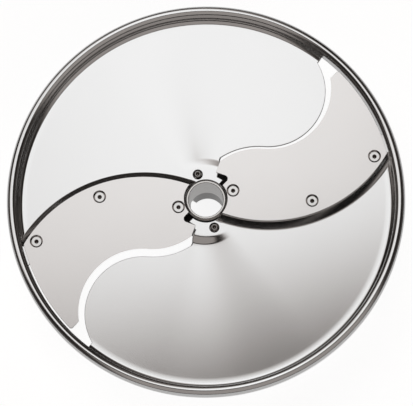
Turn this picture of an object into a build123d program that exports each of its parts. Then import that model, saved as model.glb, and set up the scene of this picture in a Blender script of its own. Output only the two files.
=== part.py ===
from build123d import *
from math import atan2, cos, degrees, hypot, radians, sin, sqrt, tan
import os

# Slicing disc of a vegetable cutter: a pressed sheet plate with a rolled rim carries two S-shaped
# blades on raised platforms, and a turned hub is screwed under its middle.
# Z is the axis of rotation, Z = 0 is the hub's lower end, X runs through the blades' hub screws.
# Levels named LEVEL are heights above the low floor, the lowest part of the plate's upper side.

# Plate
DISC_DIAMETER = 205.0
SHEET_THICKNESS = 1.5
LOW_FLOOR_HEIGHT = 35.5
HIGH_FLOOR_LEVEL = 0.7
RAMP_START_ANGLE = 71.0
RAMP_END_ANGLE = 99.0
RAMP_LEAD_ANGLE = 4.0
PLATEAU_MARGIN_WIDTH = 0.4
PLATEAU_SLOPE_WIDTH = 3.6

# Rolled rim, with a gentle bend and then a tight one between floor and wall
RIM_LEVEL = 9.6
RIM_WIDTH = 5.2
SKIRT_HEIGHT = 8.0
GENTLE_BEND_RADIUS = 90.0
GENTLE_BEND_ANGLE = 1.8
TIGHT_BEND_RADIUS = 2.4

# Blades, outlined by arcs about one centre for the back and the outer half of the cutting edge.
# The centre's distance from the axis is a share of the disc's radius, the back passes the axis at a
# distance, and the edge's circle reaches past the wall by a length.
BLADE_THICKNESS = 2.0
BLADE_TOP_LEVEL = 6.5
BLADE_CENTRE_SHARE = 0.6547
BLADE_CENTRE_ANGLE = 44.1
BACK_PASS_DISTANCE = 3.4
EDGE_REACH_LENGTH = 2.4
TURNING_ANGLE = -111.7
TIP_CUT_LENGTH = 5.7
TIP_RADIUS = 1.3
BLADE_RIM_GAP = 0.8
BLADE_HUB_GAP = 0.2
BEVEL_WIDTH = 3.5
EDGE_THICKNESS = 0.2
BLADE_END_ANGLE = 52.5
BLADE_NOTCH_LENGTH = 3.9

# Platforms and openings under the blades
STEP_WIDTH = 3.5
SLICE_GAP = 2.7
PLATFORM_RIM_ANGLE = 3.65
PLATFORM_CORNER_LENGTH = 5.0
SCREW_LAND_WIDTH = 8.2
OPENING_SHOULDER_WIDTH = 3.3
OPENING_RIM_GAP = 0.2
TONGUE_LENGTH = 2.7
OPENING_END_ANGLE = 55.5
BLADE_OVERLAP_WIDTH = 1.0
SLOT_ANGLE = 28.5
SLOT_WIDTH = 2.4

# Hub
BORE_DIAMETER = 18.0
HUB_WALL_THICKNESS = 2.0
HUB_TOP_LEVEL = 3.9
HUB_FIT_GAP = 0.1
HUB_CHAMFER_WIDTH = 1.1
BORE_CHAMFER_WIDTH = 0.2
FLANGE_THICKNESS = 5.0
FLANGE_FILLET_RADIUS = 2.0
FLANGE_MARGIN_WIDTH = 0.2
HUB_SCREW_DISTANCE = 3.7
PAD_RADIUS = 3.7
NOTCH_HEIGHT = 15.0
NOTCH_MOUTH_WIDTH = 6.4
NOTCH_ROOF_WIDTH = 2.4
NOTCH_ANGLE = 135.0

# Screws and nuts
SCREW_DIAMETER = 3.0
SCREW_HOLE_GAP = 0.2
THREAD_GAP = 0.1
HEAD_DIAMETER = 4.9
SINK_DIAMETER = 6.7
SEAT_GAP = 0.03
SOCKET_WIDTH = 2.0
SOCKET_DEPTH = 1.8
SOCKET_POINT_ANGLE = 118.0
SOCKET_FLAT_DIAMETER = 0.4
DOME_DIAMETER = 5.3
DOME_HEIGHT = 1.7
DOME_CROWN_DIAMETER = 2.9
DOME_SIDE_HEIGHT = 0.3
DOME_CURVE_RADIUS = 2.4
RIM_SCREW_LENGTH = 6.0
HUB_SCREW_LENGTH = 10.0
PLATE_SCREW_LENGTH = 6.0
NUT_WIDTH = 5.5
NUT_THICKNESS = 2.4
NUT_CHAMFER_WIDTH = 0.35
OUTER_SCREW_BACK_DISTANCE = 4.7
OUTER_SCREW_ANGLE = -50.9
MIDDLE_SCREW_BACK_DISTANCE = 6.5
MIDDLE_SCREW_ANGLE = -86.6

# Sizes that follow from those above
OUTER_RADIUS = DISC_DIAMETER / 2
WALL_RADIUS = OUTER_RADIUS - RIM_WIDTH
CREST_RADIUS = RIM_WIDTH / 2
CREST_LEVEL = RIM_LEVEL - CREST_RADIUS
BEND_DIFFERENCE = GENTLE_BEND_RADIUS - TIGHT_BEND_RADIUS
BEND_WIDTH = BEND_DIFFERENCE * sin(radians(GENTLE_BEND_ANGLE)) + TIGHT_BEND_RADIUS
BEND_TOP_LEVEL = GENTLE_BEND_RADIUS - BEND_DIFFERENCE * cos(radians(GENTLE_BEND_ANGLE))
JOIN_LEVEL = (HIGH_FLOOR_LEVEL + BEND_TOP_LEVEL + CREST_LEVEL) / 2
PLATFORM_LEVEL = BLADE_TOP_LEVEL - BLADE_THICKNESS
STEP_ANGLE = atan2(PLATFORM_LEVEL - HIGH_FLOOR_LEVEL, STEP_WIDTH)
PLATEAU_ANGLE = atan2(HIGH_FLOOR_LEVEL, PLATEAU_SLOPE_WIDTH)
CENTRE_DISTANCE = BLADE_CENTRE_SHARE * OUTER_RADIUS
BACK_RADIUS = CENTRE_DISTANCE + BACK_PASS_DISTANCE
EDGE_RADIUS = WALL_RADIUS - CENTRE_DISTANCE + EDGE_REACH_LENGTH
OUTER_SCREW_REACH = BACK_RADIUS - OUTER_SCREW_BACK_DISTANCE
MIDDLE_SCREW_REACH = BACK_RADIUS - MIDDLE_SCREW_BACK_DISTANCE
BLADE_OUTER_RADIUS = WALL_RADIUS - BLADE_RIM_GAP
OPENING_RADIUS = WALL_RADIUS - OPENING_RIM_GAP
BORE_RADIUS = BORE_DIAMETER / 2
HUB_RADIUS = BORE_RADIUS + HUB_WALL_THICKNESS
HUB_PITCH_RADIUS = HUB_RADIUS + HUB_SCREW_DISTANCE
FLANGE_RADIUS = HUB_PITCH_RADIUS + PAD_RADIUS + FLANGE_MARGIN_WIDTH
PLATEAU_RADIUS = FLANGE_RADIUS + PLATEAU_MARGIN_WIDTH
TONGUE_DISTANCE = HUB_RADIUS + TONGUE_LENGTH
BLADE_NOTCH_DISTANCE = HUB_RADIUS + BLADE_NOTCH_LENGTH
PLATFORM_CORNER_DISTANCE = HUB_RADIUS + PLATFORM_CORNER_LENGTH
PLATEAU_TOP = LOW_FLOOR_HEIGHT + HIGH_FLOOR_LEVEL
FLANGE_TOP = PLATEAU_TOP - SHEET_THICKNESS
PAD_TOP = LOW_FLOOR_HEIGHT + PLATFORM_LEVEL - SHEET_THICKNESS
BLADE_TOP = LOW_FLOOR_HEIGHT + BLADE_TOP_LEVEL
HEAD_TOP = BLADE_TOP - (SINK_DIAMETER - HEAD_DIAMETER) / 2 + SEAT_GAP
CORE_RADIUS = HUB_RADIUS / 2
UNDER = -RIM_LEVEL
CUT_HEIGHT = 4 * RIM_LEVEL
HOLE_RADIUS = (SCREW_DIAMETER + SCREW_HOLE_GAP) / 2
TAPPED_RADIUS = (SCREW_DIAMETER + THREAD_GAP) / 2
MATCH = 0.001


def polar(radius, angle, centre=(0, 0)):
    """Point at a distance and an angle in degrees from a centre."""
    return (centre[0] + radius * cos(radians(angle)), centre[1] + radius * sin(radians(angle)))


def angle_of(point, centre=(0, 0)):
    """Angle in degrees at which a point is seen from a centre."""
    return degrees(atan2(point[1] - centre[1], point[0] - centre[0]))


def beside(angle, along, aside):
    """Point along a radial line and aside from it, clockwise."""
    ahead = polar(along, angle)
    return polar(aside, angle - 90, ahead)


BLADE_CENTRE = polar(CENTRE_DISTANCE, BLADE_CENTRE_ANGLE)
INNER_CENTRE = polar(2 * EDGE_RADIUS, TURNING_ANGLE, BLADE_CENTRE)
OUTER_SCREW = polar(OUTER_SCREW_REACH, OUTER_SCREW_ANGLE, BLADE_CENTRE)
MIDDLE_SCREW = polar(MIDDLE_SCREW_REACH, MIDDLE_SCREW_ANGLE, BLADE_CENTRE)
HUB_SCREW = (HUB_PITCH_RADIUS, 0)
PLATE_SCREW = (0, HUB_PITCH_RADIUS)
HALF_TURN = Rotation(0, 0, 180)


def circles_meet(centre, radius, about, angle_sign):
    """Point at a radius from the axis where a circle about another centre is crossed."""
    far = hypot(*centre)
    swing = (radius**2 + far**2 - about**2) / (2 * radius * far)
    turn = atan2(sqrt(1 - swing**2), swing)
    return polar(radius, angle_of(centre) + angle_sign * degrees(turn))


def ray_meets(angle, centre, about):
    """Far point where a radial line crosses a circle about a centre."""
    way = polar(1, angle)
    along = centre[0] * way[0] + centre[1] * way[1]
    far = hypot(*centre)
    return polar(along + sqrt(along**2 - far**2 + about**2), angle)


def line_distance(angle, aside, facing, distance):
    """Point on a radial line, moved aside, at a distance along another direction."""
    lean = radians(facing - angle)
    along = (distance + aside * sin(lean)) / cos(lean)
    return beside(angle, along, aside)


def arc(centre, start, end, turn):
    """Arc about a centre from start to end, turn 1 for counter-clockwise and -1 for clockwise."""
    first = angle_of(start, centre)
    sweep = (turn * (angle_of(end, centre) - first)) % 360
    radius = hypot(start[0] - centre[0], start[1] - centre[1])
    return ThreePointArc(start, polar(radius, first + turn * sweep / 2, centre), end)


def face_of(*lines):
    """Face inside a closed run of lines and arcs."""
    return make_face([edge for line in lines for edge in line.edges()])


def on_floor(shape):
    """Lifts a shape drawn with the low floor at zero to its place above the hub's lower end."""
    return Pos(0, 0, LOW_FLOOR_HEIGHT) * shape


def pair(shape):
    """A shape and its copy, half a turn further round."""
    return [shape, HALF_TURN * shape]


# Plate

def pan_body(offset):
    """All that lies under the low floor and outside the wall, with two round bends between them."""
    wall = WALL_RADIUS + offset
    side = OUTER_RADIUS + offset
    top = JOIN_LEVEL + offset
    bottom = UNDER - offset
    facing = GENTLE_BEND_ANGLE - 90
    gentle_centre = (WALL_RADIUS - BEND_WIDTH, GENTLE_BEND_RADIUS)
    tight_centre = polar(BEND_DIFFERENCE, facing, gentle_centre)
    foot = (gentle_centre[0], -offset)
    join = polar(GENTLE_BEND_RADIUS + offset, facing, gentle_centre)
    head = (wall, tight_centre[1])
    section = face_of(
        Line((0, -offset), foot),
        arc(gentle_centre, foot, join, 1),
        arc(tight_centre, join, head, 1),
        Polyline(head, (wall, top), (side, top), (side, bottom), (0, bottom), (0, -offset)),
    )
    return revolve(Plane.XZ * section, Axis.Z)


def high_floor_body(offset):
    """High floor of one half, from the ramp's upper end to below the next platform."""
    reach = WALL_RADIUS + SHEET_THICKNESS / 2
    start = polar(reach, RAMP_END_ANGLE)
    end = polar(reach, 180)
    sector = face_of(Line((0, 0), start), arc((0, 0), start, end, 1), Line(end, (0, 0)))
    return Pos(0, 0, UNDER) * extrude(sector, HIGH_FLOOR_LEVEL - offset - UNDER)


def ramp_section(angle, level):
    """Upright radial section of the ramp."""
    corner = (Align.MIN, Align.MIN)
    upright = Rectangle(OUTER_RADIUS - CORE_RADIUS, level - UNDER, align=corner)
    return Rotation(0, 0, angle) * (Plane.XZ * (Pos(CORE_RADIUS, UNDER) * upright))


def ramp_body(offset):
    """Ramp of one half, a twisted surface that starts a little below the low floor."""
    lead = -RAMP_LEAD_ANGLE / (RAMP_END_ANGLE - RAMP_START_ANGLE)
    foot = ramp_section(RAMP_START_ANGLE - RAMP_LEAD_ANGLE, lead * HIGH_FLOOR_LEVEL - offset)
    head = ramp_section(RAMP_END_ANGLE, HIGH_FLOOR_LEVEL - offset)
    return loft([foot, head], ruled=True)


def plateau_body(offset):
    """Round plateau about the hub, with a sloping side."""
    inset = offset * tan(PLATEAU_ANGLE / 2)
    height = HIGH_FLOOR_LEVEL - UNDER
    top = PLATEAU_RADIUS - inset
    cone = Cone(top + height / tan(PLATEAU_ANGLE), top, height)
    return Pos(0, 0, HIGH_FLOOR_LEVEL - offset - height / 2) * cone


def front_points():
    """Points of the platform's front edge at the rim, past the middle screw and at the hub slot."""
    near_rim = polar(OPENING_RADIUS, PLATFORM_RIM_ANGLE)
    middle = polar(MIDDLE_SCREW_REACH - SCREW_LAND_WIDTH, MIDDLE_SCREW_ANGLE, BLADE_CENTRE)
    near_hub = beside(SLOT_ANGLE, PLATFORM_CORNER_DISTANCE, SLOT_WIDTH / 2)
    return near_rim, middle, near_hub


def platform_body(offset):
    """Raised platform under a blade: a cone about the blade's centre makes its sloping step."""
    inset = offset * tan(STEP_ANGLE / 2)
    height = PLATFORM_LEVEL - UNDER
    top = BACK_RADIUS - inset
    cone = Cone(top + height / tan(STEP_ANGLE), top, height)
    cone = Pos(*BLADE_CENTRE, PLATFORM_LEVEL - offset - height / 2) * cone
    near_rim, middle, near_hub = front_points()
    side = OUTER_RADIUS
    region = face_of(
        ThreePointArc(near_rim, middle, near_hub),
        Polyline(near_hub, (0, 0), (0, -side), (side, -side), (side, near_rim[1]), near_rim),
    )
    region = Pos(0, 0, UNDER - SHEET_THICKNESS) * extrude(region, PLATFORM_LEVEL - UNDER + SHEET_THICKNESS)
    bound = Cylinder(WALL_RADIUS + (SHEET_THICKNESS - offset) / 2, CUT_HEIGHT)
    return cone & region & bound


def opening_face():
    """Opening under a blade, from the platform's front edge to the S-shaped edge of the floor."""
    near_rim, middle, near_hub = front_points()
    floor_radius = EDGE_RADIUS - SLICE_GAP
    inner_radius = EDGE_RADIUS + SLICE_GAP
    shoulder = circles_meet(BLADE_CENTRE, WALL_RADIUS - OPENING_SHOULDER_WIDTH, floor_radius, -1)
    rim_end = polar(OPENING_RADIUS, angle_of(shoulder))
    turning = polar(floor_radius, TURNING_ANGLE, BLADE_CENTRE)
    floor_end = ray_meets(OPENING_END_ANGLE, INNER_CENTRE, inner_radius)
    tongue_end = beside(BLADE_END_ANGLE, TONGUE_DISTANCE, BLADE_OVERLAP_WIDTH)
    tongue_start = line_distance(SLOT_ANGLE, -SLOT_WIDTH / 2, BLADE_END_ANGLE, TONGUE_DISTANCE)
    return face_of(
        ThreePointArc(near_rim, middle, near_hub),
        Polyline(near_hub, tongue_start, tongue_end, floor_end),
        arc(INNER_CENTRE, floor_end, turning, -1),
        arc(BLADE_CENTRE, turning, shoulder, 1),
        Line(shoulder, rim_end),
        arc((0, 0), rim_end, near_rim, -1),
    )


def hub_slot_face():
    """Slot from the hub's hole to the opening, which frees the platform from the plateau."""
    slot = Rectangle(PLATFORM_CORNER_DISTANCE, SLOT_WIDTH, align=(Align.MIN, Align.CENTER))
    return Rotation(0, 0, SLOT_ANGLE) * slot


def rim():
    """Rolled rim: the wall turns over a round crest into an outer skirt."""
    inside = CREST_RADIUS - SHEET_THICKNESS
    middle = WALL_RADIUS + CREST_RADIUS
    skirt = RIM_LEVEL - SKIRT_HEIGHT
    back = WALL_RADIUS + SHEET_THICKNESS
    lining = OUTER_RADIUS - SHEET_THICKNESS
    section = face_of(
        Line((WALL_RADIUS, JOIN_LEVEL), (WALL_RADIUS, CREST_LEVEL)),
        ThreePointArc((WALL_RADIUS, CREST_LEVEL), (middle, RIM_LEVEL), (OUTER_RADIUS, CREST_LEVEL)),
        Polyline((OUTER_RADIUS, CREST_LEVEL), (OUTER_RADIUS, skirt), (lining, skirt)),
        Line((lining, skirt), (lining, CREST_LEVEL)),
        ThreePointArc((lining, CREST_LEVEL), (middle, CREST_LEVEL + inside), (back, CREST_LEVEL)),
        Polyline((back, CREST_LEVEL), (back, JOIN_LEVEL), (WALL_RADIUS, JOIN_LEVEL)),
    )
    return revolve(Plane.XZ * section, Axis.Z)


def plate_body(offset):
    """All that lies under the sheet's upper surface, or under its lower one when offset by the sheet."""
    body = pan_body(offset) + plateau_body(offset)
    for make in (high_floor_body, ramp_body, platform_body):
        for half in pair(make(offset)):
            body += half
    return body


def disc_plate():
    plate = plate_body(0) - plate_body(SHEET_THICKNESS)
    plate += rim()
    cuts = [extrude(face, CUT_HEIGHT, both=True) for face in pair(opening_face()) + pair(hub_slot_face())]
    cuts.append(Cylinder(HUB_RADIUS + HUB_FIT_GAP, CUT_HEIGHT))
    hole = Cylinder(HOLE_RADIUS, CUT_HEIGHT)
    for place in (OUTER_SCREW, MIDDLE_SCREW, HUB_SCREW, PLATE_SCREW):
        cuts += pair(Pos(*place) * hole)
    for cut in cuts:
        plate -= cut
    return on_floor(plate)


# Blades

def tip_points():
    """Ends of the straight cut at a blade's tip, at the cutting edge and at the rim."""
    inside = circles_meet(BLADE_CENTRE, BLADE_OUTER_RADIUS - TIP_CUT_LENGTH, EDGE_RADIUS, -1)
    return inside, polar(BLADE_OUTER_RADIUS, angle_of(inside))


def blade_face():
    """S-shaped outline of a blade, with a round cut-out about the hub and a notch beside it."""
    hub_gap = HUB_RADIUS + BLADE_HUB_GAP
    back_start = circles_meet(BLADE_CENTRE, hub_gap, BACK_RADIUS, -1)
    back_end = circles_meet(BLADE_CENTRE, BLADE_OUTER_RADIUS, BACK_RADIUS, -1)
    tip_inside, tip = tip_points()
    turning = polar(EDGE_RADIUS, TURNING_ANGLE, BLADE_CENTRE)
    end = ray_meets(BLADE_END_ANGLE, INNER_CENTRE, EDGE_RADIUS)
    notch_end = polar(BLADE_NOTCH_DISTANCE, BLADE_END_ANGLE)
    notch_corner = line_distance(SLOT_ANGLE, SLOT_WIDTH / 2, BLADE_END_ANGLE, BLADE_NOTCH_DISTANCE)
    hub_side = beside(SLOT_ANGLE, sqrt(hub_gap**2 - (SLOT_WIDTH / 2) ** 2), SLOT_WIDTH / 2)
    return face_of(
        arc(BLADE_CENTRE, back_start, back_end, 1),
        arc((0, 0), back_end, tip, 1),
        Line(tip, tip_inside),
        arc(BLADE_CENTRE, tip_inside, turning, -1),
        arc(INNER_CENTRE, turning, end, 1),
        Polyline(end, notch_end, notch_corner, hub_side),
        arc((0, 0), hub_side, back_start, -1),
    )


def is_ground_edge(edge):
    """True for the two lower arcs of the S, which are ground away to leave a thin edge at the top."""
    if edge.geom_type != GeomType.CIRCLE or abs(edge.center().Z - BLADE_TOP + BLADE_THICKNESS) > MATCH:
        return False
    return abs(edge.radius - EDGE_RADIUS) < MATCH


def blade():
    body = Pos(0, 0, BLADE_TOP - BLADE_THICKNESS) * extrude(blade_face(), BLADE_THICKNESS)
    tip = tip_points()[1]
    corner = body.edges().filter_by(Axis.Z).sort_by_distance((*tip, BLADE_TOP))[0]
    body = fillet(corner, TIP_RADIUS)
    lower = body.faces().sort_by(Axis.Z)[0]
    ground = [edge for edge in body.edges() if is_ground_edge(edge)]
    body = chamfer(ground, BEVEL_WIDTH, BLADE_THICKNESS - EDGE_THICKNESS, reference=lower)
    sink_depth = SINK_DIAMETER / 2 - HOLE_RADIUS
    sink = Cone(HOLE_RADIUS, SINK_DIAMETER / 2, sink_depth)
    hole = Cylinder(HOLE_RADIUS, CUT_HEIGHT)
    for place in (OUTER_SCREW, MIDDLE_SCREW, HUB_SCREW):
        body -= Pos(*place, BLADE_TOP - sink_depth / 2) * sink
        body -= Pos(*place, BLADE_TOP) * hole
    return body


# Hub

def drive_notch():
    """Tapered notch across the lower end, for the cross pin of the drive shaft."""
    mouth = NOTCH_MOUTH_WIDTH / 2
    roof = NOTCH_ROOF_WIDTH / 2
    side = Polygon((-mouth, 0), (mouth, 0), (roof, NOTCH_HEIGHT), (-roof, NOTCH_HEIGHT), align=None)
    return Rotation(0, 0, NOTCH_ANGLE) * extrude(Plane.YZ * side, 2 * HUB_RADIUS, both=True)


def rings_at(body, radius, height):
    """Round edges of a body with a given radius at a given height."""
    rings = body.edges().filter_by(GeomType.CIRCLE)
    level = [ring for ring in rings if abs(ring.center().Z - height) < MATCH]
    return [ring for ring in level if abs(ring.radius - radius) < MATCH]


def hub():
    length = LOW_FLOOR_HEIGHT + HUB_TOP_LEVEL
    up = (Align.CENTER, Align.CENTER, Align.MIN)
    body = Cylinder(HUB_RADIUS, length, align=up)
    body = chamfer(rings_at(body, HUB_RADIUS, length), HUB_CHAMFER_WIDTH)
    neck_height = FLANGE_TOP - FLANGE_THICKNESS
    body += Pos(0, 0, neck_height) * Cylinder(FLANGE_RADIUS, FLANGE_THICKNESS, align=up)
    body = fillet(rings_at(body, HUB_RADIUS, neck_height), FLANGE_FILLET_RADIUS)
    pad_height = PAD_TOP - FLANGE_TOP
    pad = Pos(HUB_PITCH_RADIUS, 0, FLANGE_TOP) * Cylinder(PAD_RADIUS, pad_height, align=up)
    web = Box(HUB_PITCH_RADIUS, 2 * PAD_RADIUS, pad_height, align=(Align.MIN, Align.CENTER, Align.MIN))
    for raised in pair(pad + Pos(0, 0, FLANGE_TOP) * web):
        body += raised
    body -= Cylinder(BORE_RADIUS, length, align=up)
    mouths = rings_at(body, BORE_RADIUS, 0) + rings_at(body, BORE_RADIUS, length)
    body = chamfer(mouths, BORE_CHAMFER_WIDTH)
    body -= drive_notch()
    tapped = Pos(0, 0, FLANGE_TOP) * Cylinder(TAPPED_RADIUS, CUT_HEIGHT)
    for place in (HUB_SCREW, PLATE_SCREW):
        for hole in pair(Pos(*place) * tapped):
            body -= hole
    return body


# Screws and nuts

def socket():
    """Hexagon socket with a drilled point, open at the top of a head."""
    inside = SOCKET_WIDTH / 2
    flat = SOCKET_FLAT_DIAMETER / 2
    point = (inside - flat) / tan(radians(SOCKET_POINT_ANGLE / 2))
    drilled = Pos(0, 0, -SOCKET_DEPTH - point / 2) * Cone(flat, inside, point)
    return extrude(RegularPolygon(inside, 6, major_radius=False), -SOCKET_DEPTH) + drilled


def sunk_screw(length):
    """Countersunk screw with the top of its head at zero."""
    shank = SCREW_DIAMETER / 2
    head = HEAD_DIAMETER / 2
    section = Polygon((0, 0), (head, 0), (shank, shank - head), (shank, -length), (0, -length), align=None)
    return revolve(Plane.XZ * section, Axis.Z) - socket()


def domed_screw(length):
    """Round-headed screw that stands on zero."""
    shank = SCREW_DIAMETER / 2
    side = DOME_DIAMETER / 2
    crown = (DOME_CROWN_DIAMETER / 2, DOME_HEIGHT)
    foot = (side, DOME_SIDE_HEIGHT)
    section = face_of(
        Polyline(crown, (0, DOME_HEIGHT), (0, -length), (shank, -length), (shank, 0), (side, 0), foot),
        RadiusArc(foot, crown, -DOME_CURVE_RADIUS),
    )
    return revolve(Plane.XZ * section, Axis.Z) - Pos(0, 0, DOME_HEIGHT) * socket()


def nut():
    """Hexagon nut that hangs down from zero."""
    prism = extrude(RegularPolygon(NUT_WIDTH / 2, 6, major_radius=False), -NUT_THICKNESS)
    corner = NUT_WIDTH / sqrt(3)
    turned = Pos(0, 0, -NUT_THICKNESS / 2) * Cylinder(corner, NUT_THICKNESS)
    turned = chamfer(turned.edges().filter_by(GeomType.CIRCLE), NUT_CHAMFER_WIDTH)
    return (prism & turned) - Cylinder(TAPPED_RADIUS, CUT_HEIGHT)


def at_places(shape, height, *places):
    """Copies of a fastener at the given places of one blade and of the other."""
    copies = []
    for place in places:
        copies += pair(Pos(*place, height) * shape)
    return Compound(children=copies)


PARTS = {
    "disc_plate": disc_plate(),
    "blade_right": blade(),
    "blade_left": HALF_TURN * blade(),
    "hub": hub(),
    "blade_rim_screws": at_places(sunk_screw(RIM_SCREW_LENGTH), HEAD_TOP, OUTER_SCREW, MIDDLE_SCREW),
    "blade_hub_screws": at_places(sunk_screw(HUB_SCREW_LENGTH), HEAD_TOP, HUB_SCREW),
    "plate_screws": at_places(domed_screw(PLATE_SCREW_LENGTH), PLATEAU_TOP, PLATE_SCREW),
    "blade_nuts": at_places(nut(), PAD_TOP, OUTER_SCREW, MIDDLE_SCREW),
}

os.makedirs("parts", exist_ok=True)
for name, shape in PARTS.items():
    export_step(shape, f"parts/{name}.step")
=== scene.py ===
from functools import partial
from math import asin, atan2, cos, degrees, hypot, pi, radians, sin, sqrt, tan

import bmesh
import bpy
import numpy as np
from mathutils import Matrix, Vector


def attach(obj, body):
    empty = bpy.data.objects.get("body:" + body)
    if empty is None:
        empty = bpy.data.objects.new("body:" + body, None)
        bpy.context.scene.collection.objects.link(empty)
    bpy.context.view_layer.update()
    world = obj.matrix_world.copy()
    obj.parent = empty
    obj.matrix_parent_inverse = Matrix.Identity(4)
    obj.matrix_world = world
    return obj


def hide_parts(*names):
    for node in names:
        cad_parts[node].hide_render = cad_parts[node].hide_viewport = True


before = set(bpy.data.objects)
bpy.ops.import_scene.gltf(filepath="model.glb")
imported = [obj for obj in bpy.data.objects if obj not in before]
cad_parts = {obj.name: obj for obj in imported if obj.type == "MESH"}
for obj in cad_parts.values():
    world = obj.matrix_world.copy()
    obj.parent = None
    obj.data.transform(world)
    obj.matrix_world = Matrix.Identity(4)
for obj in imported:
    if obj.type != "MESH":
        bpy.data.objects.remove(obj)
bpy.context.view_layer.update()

# Lengths are in millimetres and angles in degrees, as in the solids; MM turns them into metres.
# The axis of rotation is Z, the hub stands on Z = 0, and levels are heights above the low floor.
MM = 0.001

# Pressed plate
OUTER_RADIUS = 102.5
SHEET = 1.5
LOW_FLOOR_HEIGHT = 35.5
HIGH_FLOOR_LEVEL = 0.7
RAMP_START_ANGLE = 71.0
RAMP_END_ANGLE = 99.0
CREASE_ANGLE = 13.0
PLATEAU_RADIUS = 19.0
PLATEAU_SLOPE_RUN = 3.6
PLATEAU_BEND = 0.5
RIM_LEVEL = 9.6
RIM_WIDTH = 5.2
CREST_POWER = 2.25
SKIRT_DROP = 8.0
GENTLE_BEND = 90.0
GENTLE_BEND_ANGLE = 1.8
TIGHT_BEND = 2.4
HUB_HOLE_RADIUS = 11.1
CUT_EDGE_ROUND = 0.3
CUT_EDGE_ANGLE = 60

# Platforms and openings
STEP_RUN = 3.5
STEP_FOOT_BEND = 0.2
STEP_TOP_BEND = 0.2
STEP_MARGIN = 1.0
SLICE_GAP = 2.7
PLATFORM_RIM_ANGLE = 3.65
PLATFORM_CORNER_DISTANCE = 16.0
SCREW_LAND = 8.2
OPENING_SHOULDER = 3.3
OPENING_RIM_GAP = 0.2
OPENING_END_ANGLE = 55.5
WALL_FOOT_FALL_ANGLE = 6.0
TONGUE_RADIUS = 14.0
TONGUE_ANGLE = 48.3
SLOT_ANGLE = 28.5
SLOT_WIDTH = 2.4

# Blades
BLADE_THICKNESS = 2.0
BLADE_TOP_LEVEL = 6.5
BLADE_CENTRE_DISTANCE = 67.1
BLADE_CENTRE_ANGLE = 44.1
BACK_RADIUS = 70.5
EDGE_RADIUS = 32.6
TURNING_ANGLE = -111.7
TIP_CUT = 5.7
TIP_ROUND = 1.3
BLADE_RIM_GAP = 0.8
BLADE_HUB_RADIUS = 11.2
BEVEL_WIDTH = 3.5
EDGE_THICKNESS = 0.2
BLADE_END_ANGLE = 52.5
BLADE_NOTCH_DISTANCE = 14.9
NOTCH_ROUND = 1.8
EDGE_BREAK = 0.12

# Hub, and screw places as reach and turn about a blade's centre or as a radius on the hub
HUB_RADIUS = 11.0
HUB_CHAMFER = 1.1
BORE_RADIUS = 9.0
BORE_SHADE_HEIGHT = 15.0
HUB_PITCH_RADIUS = 14.7
OUTER_SCREW = (65.8, -50.9)
MIDDLE_SCREW = (64.0, -86.6)
SOCKET_RADIUS = 1.15
SINK_DIAMETER = 6.7
HOLE_DIAMETER = 3.2

# Rows of the floor (ring, plateau slope, floor, gentle and tight bend) and the rim (bend, wall, crest, skirt)
FLOOR_ROWS = (6, 15, 45, 9, 11)
RIM_ROWS = (6, 2, 32, 4)
TONGUE_ROWS = 7
# Columns of the floor (before the ramp, ramp, high floor, step, platform), the tongue and the opening
FLOOR_COLUMNS = (22, 26, 44, 36, 16)
TONGUE_COLUMNS = 12
OPENING_COLUMNS = 30

# Points on the blade's arcs, sides of its countersinks and of the punched holes
BACK_POINTS = 72
RIM_SIDE_POINTS = 30
TIP_POINTS = 8
OUTER_EDGE_POINTS = 64
INNER_EDGE_POINTS = 40
NOTCH_POINTS = 10
HUB_SIDE_POINTS = 20
SINK_SIDES = 48
PUNCH_SIDES = 32
PUNCH_CLEARANCE = 2.3

# Distance at which points merge, and limits for flat and sharp shading
WELD = 0.002
FLAT_LIMIT = 0.99999
SHARP_ANGLE = 20
CUT_EDGE_SEGMENTS = 3

# Finishes: tone, roughness, size and depth of the grain, and the share by which the tone varies
SCREW_TONE = (0.8, 0.79, 0.78)
PLATE_FINISH = ((0.83, 0.83, 0.83), 0.1, 0.25, 0.02, 0.008)
CUT_EDGE_FINISH = ((0.25, 0.24, 0.235), 0.35, 0.2, 0.03, 0.05)
BLADE_FINISH = ((0.81, 0.79, 0.78), 0.14, 0.2, 0.02, 0.012)
HUB_FINISH = ((0.72, 0.70, 0.68), 0.18, 0.3, 0.02, 0.02)
SCREW_FINISH = (SCREW_TONE, 0.15, 0.3, 0.02, 0.02)
# Painted shade: the domed screws' steel is given a darker tone than the other screws'
DOME_PAINTED_SHADE_FINISH = ((0.3, 0.29, 0.28), 0.15, 0.3, 0.02, 0.02)
NUT_FINISH = (SCREW_TONE, 0.2, 0.3, 0.02, 0.02)
# Painted shade: a darker tone in the screws' sockets, where the recess is in shade
SOCKET_PAINTED_SHADE = (0.3, 0.27, 0.25)
# Painted shade: a near-black tone on the hub's flange under the plate
FLANGE_PAINTED_SHADE = (0.03, 0.028, 0.027)
# Painted shade: a darker tone in the lower part of the hub's bore
BORE_PAINTED_SHADE = (0.2, 0.19, 0.185)
CHAMFER_ROUGHNESS = 0.5
CLOUD_SCALE = 35.0
CLOUD_DETAIL = 4.0
CLOUD_ENDS = (0.3, 0.7)
ROUGHNESS_SPREAD = 0.15
GRAIN_DETAIL = 3.0
GRAIN_STRENGTH = 0.15

# Overhead panel: slopes of the ray, sideways or backwards for its rise, between which each edge fades
PANEL_MIDDLE = 0.025
PANEL_SKEW = 0.08
PANEL_LAG = 0.06
EDGE_CORE = (0.131, 0.191)
EDGE_CORE_SHARE = 0.6
EDGE_GLOW = (0.09, 0.22)
PANEL_RIGHT = (0.45, 0.06)
PANEL_LEFT = (-0.7, -0.4)
LEFT_FADE = (-0.1, 0.05)
LEFT_LOSS = 0.2
PANEL_BACK = (1.05, 0.85)
PANEL_STRENGTH = 1.06

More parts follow.
